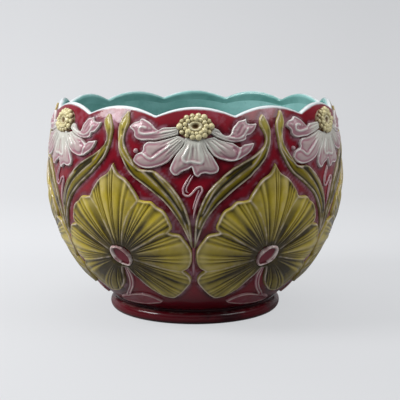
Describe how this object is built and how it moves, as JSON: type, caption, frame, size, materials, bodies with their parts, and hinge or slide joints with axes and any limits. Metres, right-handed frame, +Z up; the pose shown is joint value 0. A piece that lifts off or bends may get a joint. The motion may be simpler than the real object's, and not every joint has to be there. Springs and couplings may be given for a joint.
{
  "type": "jardiniere",
  "caption": "Round deep-bellied glazed earthenware jardiniere on a low turned foot, with a scalloped rim and moulded leaf and flower relief.",
  "frame": {"origin": "centre of the foot's underside, on the surface the jardiniere stands on", "axes": "+Z up along the bowl's own axis; -Y through the middle of flower 1, the side that faces the viewer"},
  "size_m": [0.3232, 0.321, 0.229],
  "materials": {
    "ground_glaze": "deep burgundy lead glaze, high gloss, darker where it pools",
    "lining_glaze": "turquoise glaze, gloss",
    "leaf_glaze": "olive green glaze, gloss, darker in the flutes",
    "strap_glaze": "olive to brown glaze, gloss",
    "petal_glaze": "white glaze flushed with mauve pink, gloss",
    "boss_glaze": "cream glaze with a brown centre, gloss",
    "eye_glaze": "burgundy glaze in a pale raised lip, gloss",
    "stem_glaze": "pale lilac glaze thinned over burgundy, gloss"
  },
  "bodies": {
    "root": {"bowl_body": "ground_glaze", "foot_ring": "ground_glaze", "lining_glaze": "lining_glaze", "fan_leaf_1": "leaf_glaze", "leaf_eye_1": "eye_glaze", "leaf_stalk_1": "stem_glaze", "strap_leaf_left_1": "strap_glaze", "strap_leaf_right_1": "strap_glaze", "plant_stem_1": "stem_glaze", "blossom_1": "petal_glaze", "blossom_boss_1": "boss_glaze", "flower_tendril_1": "stem_glaze", "fan_leaf_2": "leaf_glaze", "leaf_eye_2": "eye_glaze", "leaf_stalk_2": "stem_glaze", "strap_leaf_left_2": "strap_glaze", "strap_leaf_right_2": "strap_glaze", "plant_stem_2": "stem_glaze", "blossom_2": "petal_glaze", "blossom_boss_2": "boss_glaze", "flower_tendril_2": "stem_glaze", "fan_leaf_3": "leaf_glaze", "leaf_eye_3": "eye_glaze", "leaf_stalk_3": "stem_glaze", "strap_leaf_left_3": "strap_glaze", "strap_leaf_right_3": "strap_glaze", "plant_stem_3": "stem_glaze", "blossom_3": "petal_glaze", "blossom_boss_3": "boss_glaze", "flower_tendril_3": "stem_glaze", "fan_leaf_4": "leaf_glaze", "leaf_eye_4": "eye_glaze", "leaf_stalk_4": "stem_glaze", "strap_leaf_left_4": "strap_glaze", "strap_leaf_right_4": "strap_glaze", "plant_stem_4": "stem_glaze", "blossom_4": "petal_glaze", "blossom_boss_4": "boss_glaze", "flower_tendril_4": "stem_glaze", "fan_leaf_5": "leaf_glaze", "leaf_eye_5": "eye_glaze", "leaf_stalk_5": "stem_glaze", "strap_leaf_left_5": "strap_glaze", "strap_leaf_right_5": "strap_glaze", "plant_stem_5": "stem_glaze", "blossom_5": "petal_glaze", "blossom_boss_5": "boss_glaze", "flower_tendril_5": "stem_glaze", "fan_leaf_6": "leaf_glaze", "leaf_eye_6": "eye_glaze", "leaf_stalk_6": "stem_glaze", "strap_leaf_left_6": "strap_glaze", "strap_leaf_right_6": "strap_glaze", "plant_stem_6": "stem_glaze", "blossom_6": "petal_glaze", "blossom_boss_6": "boss_glaze", "flower_tendril_6": "stem_glaze"}
  },
  "joints": []
}
